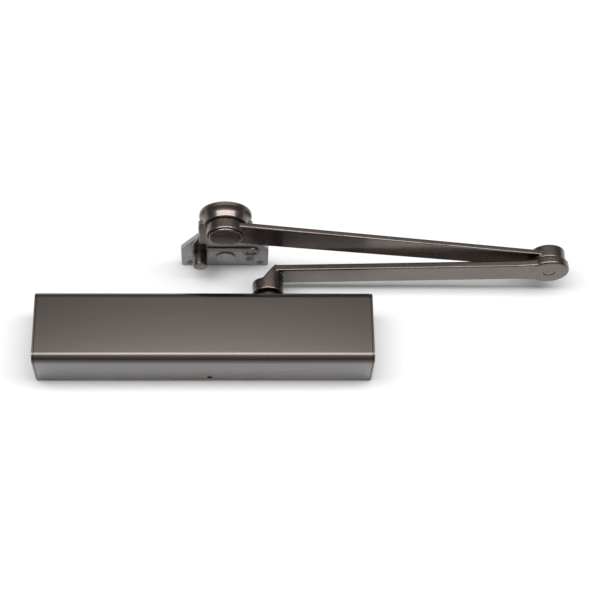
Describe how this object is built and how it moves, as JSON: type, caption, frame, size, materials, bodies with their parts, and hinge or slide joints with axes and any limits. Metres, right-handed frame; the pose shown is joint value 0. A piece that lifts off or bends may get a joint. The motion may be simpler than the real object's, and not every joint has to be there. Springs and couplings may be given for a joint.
{
  "type": "surface door closer",
  "caption": "Surface door closer with a full cover, a rack-and-pinion hydraulic body and a folding parallel arm that ends in a soffit shoe with a stop pin.",
  "frame": {"origin": "on the back mounting face, at the middle of the cover's length and height", "axes": "+X along the cover towards the pinion's end, +Y along the pinion's axis towards the arm, which is up as installed, +Z out of the door's face towards the front of the cover"},
  "size_m": [0.5008, 0.1286, 0.1132],
  "materials": {
    "bronze_cover": "satin dark bronze, finely brushed along its length",
    "bronze_arm": "satin dark bronze",
    "grey_plate": "mottled grey cast plate",
    "housing_casting": "painted casting",
    "steel": "machined",
    "spring_steel": "drawn spring wire",
    "bearing_bronze": "machined",
    "seal_rubber": "matte"
  },
  "bodies": {
    "closer": {"mounting_plate": "housing_casting", "closer_body": "housing_casting", "cover": "bronze_cover", "cover_end_left": "bronze_cover", "cover_end_right": "bronze_cover", "cover_screw_bottom": "steel", "cover_screw_top": "steel", "spring_end_cap": "steel", "plain_end_cap": "steel", "spring_cap_o_ring": "seal_rubber", "plain_cap_o_ring": "seal_rubber", "upper_bearing": "bearing_bronze", "lower_bearing": "bearing_bronze", "shaft_seal": "seal_rubber", "lower_plug": "steel", "shaft_gland": "bronze_arm", "return_spring": "spring_steel"},
    "arm_shaft": {"pinion": "steel", "main_arm": "bronze_arm", "arm_washer": "steel", "arm_screw": "steel", "elbow_pin": "bronze_arm"},
    "piston_group": {"piston": "steel", "piston_ring_left": "seal_rubber", "piston_ring_right": "seal_rubber", "check_ball_retainer": "bearing_bronze"},
    "ball": {"check_ball": "steel"},
    "adjuster": {"spring_adjuster": "steel"},
    "seat": {"spring_seat": "steel"},
    "sweep_screw": {"sweep_valve": "bearing_bronze"},
    "latch_screw": {"latch_valve": "bearing_bronze"},
    "backcheck_screw": {"backcheck_valve": "bearing_bronze"},
    "forearm_group": {"forearm": "bronze_arm", "elbow_washer": "bearing_bronze", "elbow_bushing": "bearing_bronze", "shoe_bushing": "bearing_bronze"},
    "shoe": {"shoe_plate": "grey_plate", "cup_housing": "bronze_arm", "cushion_ring": "seal_rubber", "pivot_screw": "bronze_arm", "stop_pin": "bronze_arm", "centre_rivet": "grey_plate"}
  },
  "joints": [
    {"name": "pinion_turn", "type": "hinge", "parent": "closer", "child": "arm_shaft", "pos_m": [0.0595, 0, 0.0255], "axis": [0, -1, 0], "range_deg": [0, 180], "stiffness_Nm_per_rad": 4, "springref_deg": -57.3},
    {"name": "piston_slide", "type": "slide", "parent": "closer", "child": "piston_group", "axis": [-1, 0, 0], "range_m": [0, 0.0283], "deforming": ["return_spring"]},
    {"name": "check_ball_slide", "type": "slide", "parent": "piston_group", "child": "ball", "axis": [1, 0, 0], "range_m": [-0.0006, 0.0003]},
    {"name": "adjuster_turn", "type": "hinge", "parent": "closer", "child": "adjuster", "pos_m": [-0.152, 0, 0.0255], "axis": [1, 0, 0], "range_deg": [0, 2890]},
    {"name": "seat_slide", "type": "slide", "parent": "closer", "child": "seat", "axis": [1, 0, 0], "range_m": [0, 0.01]},
    {"name": "sweep_turn", "type": "hinge", "parent": "closer", "child": "sweep_screw", "pos_m": [0.1406, -0.0225, 0.019], "axis": [1, 0, 0], "range_deg": [-360, 360]},
    {"name": "latch_turn", "type": "hinge", "parent": "closer", "child": "latch_screw", "pos_m": [0.1406, -0.0225, 0.032], "axis": [1, 0, 0], "range_deg": [-360, 360]},
    {"name": "backcheck_turn", "type": "hinge", "parent": "closer", "child": "backcheck_screw", "pos_m": [0.1406, 0.0225, 0.0255], "axis": [1, 0, 0], "range_deg": [-360, 360]},
    {"name": "elbow_pivot", "type": "hinge", "parent": "arm_shaft", "child": "forearm_group", "pos_m": [0.3257, 0, 0.0362], "axis": [0, 1, 0], "range_deg": [-12, 170]},
    {"name": "shoe_pivot", "type": "hinge", "parent": "forearm_group", "child": "shoe", "pos_m": [0.0194, 0, 0.089], "axis": [0, 1, 0], "range_deg": [-80, 239]}
  ],
  "couplings": [
    {"joint": "piston_slide", "follows": "pinion_turn", "m_per_rad": 0.009},
    {"joint": "adjuster_turn", "follows": "seat_slide", "rad_per_m": 5026.5}
  ]
}
